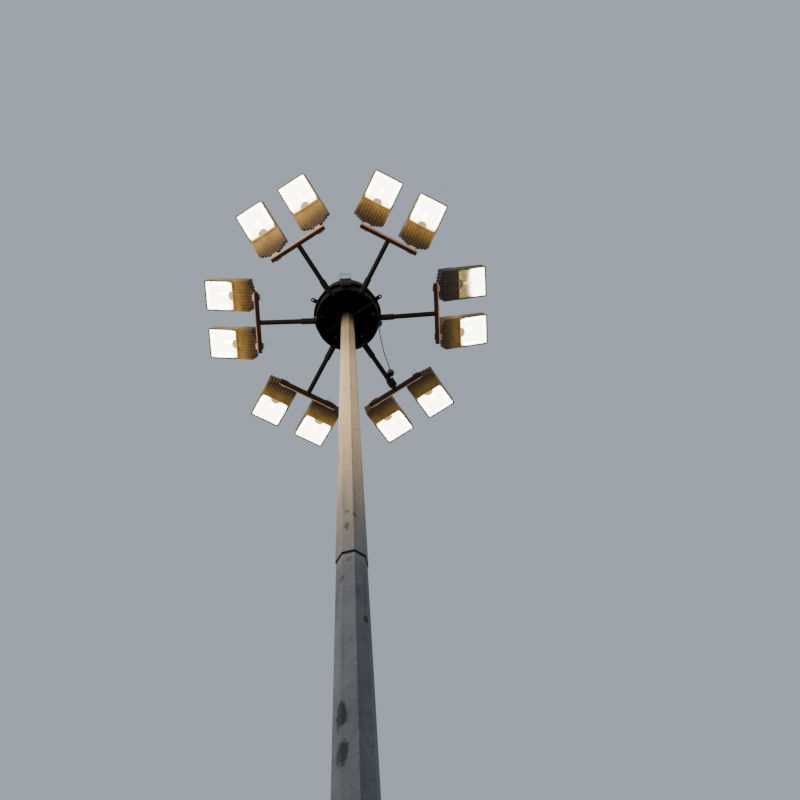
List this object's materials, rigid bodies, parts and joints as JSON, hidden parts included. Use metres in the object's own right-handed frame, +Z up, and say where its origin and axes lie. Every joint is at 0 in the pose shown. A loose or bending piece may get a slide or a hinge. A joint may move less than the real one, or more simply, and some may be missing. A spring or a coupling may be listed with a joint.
{
  "type": "high mast floodlight tower",
  "caption": "Tapered octagonal steel mast with a flanged base, a slip joint and a fixed radial head of arms with crossbars carrying tiltable wide-beam floodlights and an obstruction beacon.",
  "frame": {"origin": "centre of the base flange's underside, at the level of the foundation's levelled top", "axes": "+Z up along the mast; +X along the first arm; -Y towards the head's junction box"},
  "size_m": [3.8142, 3.831, 20.07],
  "materials": {
    "galvanized_steel": "weathered hot-dip galvanizing, matt",
    "dark_steel": "dark brown weathered paint",
    "dark_canopy": "dark paint, satin",
    "bracket_steel": "weathered paint",
    "bolt_steel": "zinc plated",
    "box_grey": "light grey paint",
    "black_plastic": "matt black",
    "red_lens": "deep red, faintly ribbed",
    "lead_sheath": "blue-grey sheath",
    "cast_housing": "cast, dull bronze-grey paint",
    "flood_glass": "clear toughened glass, lamp lit behind it"
  },
  "bodies": {
    "tower": {"base_flange": "galvanized_steel", "base_gussets": "galvanized_steel", "mast_lower_section": "galvanized_steel", "door_frame": "galvanized_steel", "door_cover": "galvanized_steel", "mast_upper_section": "galvanized_steel", "head_hub": "dark_steel", "head_ring": "dark_steel", "ring_top_flange": "dark_steel", "canopy": "dark_canopy", "canopy_spider": "dark_steel", "arms": "dark_steel", "crossbars": "dark_steel", "arm_sockets": "dark_steel", "flood_brackets": "bracket_steel", "tilt_pivots": "bolt_steel", "lifting_lugs": "dark_steel", "junction_box": "box_grey", "junction_box_lid": "box_grey", "box_straps": "dark_steel", "lead_gland": "black_plastic", "beacon_plate": "dark_steel", "beacon_base": "black_plastic", "beacon_lens": "red_lens", "arm_box": "black_plastic", "beacon_lead": "lead_sheath"},
    "flood_1": {"flood_housing_1": "cast_housing", "flood_glass_1": "flood_glass"},
    "flood_2": {"flood_housing_2": "cast_housing", "flood_glass_2": "flood_glass"},
    "flood_3": {"flood_housing_3": "cast_housing", "flood_glass_3": "flood_glass"},
    "flood_4": {"flood_housing_4": "cast_housing", "flood_glass_4": "flood_glass"},
    "flood_5": {"flood_housing_5": "cast_housing", "flood_glass_5": "flood_glass"},
    "flood_6": {"flood_housing_6": "cast_housing", "flood_glass_6": "flood_glass"},
    "flood_7": {"flood_housing_7": "cast_housing", "flood_glass_7": "flood_glass"},
    "flood_8": {"flood_housing_8": "cast_housing", "flood_glass_8": "flood_glass"},
    "flood_9": {"flood_housing_9": "cast_housing", "flood_glass_9": "flood_glass"},
    "flood_10": {"flood_housing_10": "cast_housing", "flood_glass_10": "flood_glass"},
    "flood_11": {"flood_housing_11": "cast_housing", "flood_glass_11": "flood_glass"},
    "flood_12": {"flood_housing_12": "cast_housing", "flood_glass_12": "flood_glass"}
  },
  "joints": [
    {"name": "flood_1_tilt", "type": "hinge", "parent": "tower", "child": "flood_1", "pos_m": [1.2, -0.335, 19.55324], "axis": [0, -1, 0], "range_deg": [-20, 30]},
    {"name": "flood_2_tilt", "type": "hinge", "parent": "tower", "child": "flood_2", "pos_m": [1.2, 0.335, 19.55324], "axis": [0, -1, 0], "range_deg": [-20, 30]},
    {"name": "flood_3_tilt", "type": "hinge", "parent": "tower", "child": "flood_3", "pos_m": [0.89012, 0.87173, 19.55324], "axis": [0.866, -0.5, 0], "range_deg": [-20, 30]},
    {"name": "flood_4_tilt", "type": "hinge", "parent": "tower", "child": "flood_4", "pos_m": [0.30988, 1.20673, 19.55324], "axis": [0.866, -0.5, 0], "range_deg": [-20, 30]},
    {"name": "flood_5_tilt", "type": "hinge", "parent": "tower", "child": "flood_5", "pos_m": [-0.30988, 1.20673, 19.55324], "axis": [0.866, 0.5, 0], "range_deg": [-20, 30]},
    {"name": "flood_6_tilt", "type": "hinge", "parent": "tower", "child": "flood_6", "pos_m": [-0.89012, 0.87173, 19.55324], "axis": [0.866, 0.5, 0], "range_deg": [-20, 30]},
    {"name": "flood_7_tilt", "type": "hinge", "parent": "tower", "child": "flood_7", "pos_m": [-1.2, 0.335, 19.55324], "axis": [0, 1, 0], "range_deg": [-20, 30]},
    {"name": "flood_8_tilt", "type": "hinge", "parent": "tower", "child": "flood_8", "pos_m": [-1.2, -0.335, 19.55324], "axis": [0, 1, 0], "range_deg": [-20, 30]},
    {"name": "flood_9_tilt", "type": "hinge", "parent": "tower", "child": "flood_9", "pos_m": [-0.89012, -0.87173, 19.55324], "axis": [-0.866, 0.5, 0], "range_deg": [-20, 30]},
    {"name": "flood_10_tilt", "type": "hinge", "parent": "tower", "child": "flood_10", "pos_m": [-0.30988, -1.20673, 19.55324], "axis": [-0.866, 0.5, 0], "range_deg": [-20, 30]},
    {"name": "flood_11_tilt", "type": "hinge", "parent": "tower", "child": "flood_11", "pos_m": [0.30988, -1.20673, 19.55324], "axis": [-0.866, -0.5, 0], "range_deg": [-20, 30]},
    {"name": "flood_12_tilt", "type": "hinge", "parent": "tower", "child": "flood_12", "pos_m": [0.89012, -0.87173, 19.55324], "axis": [-0.866, -0.5, 0], "range_deg": [-20, 30]}
  ]
}
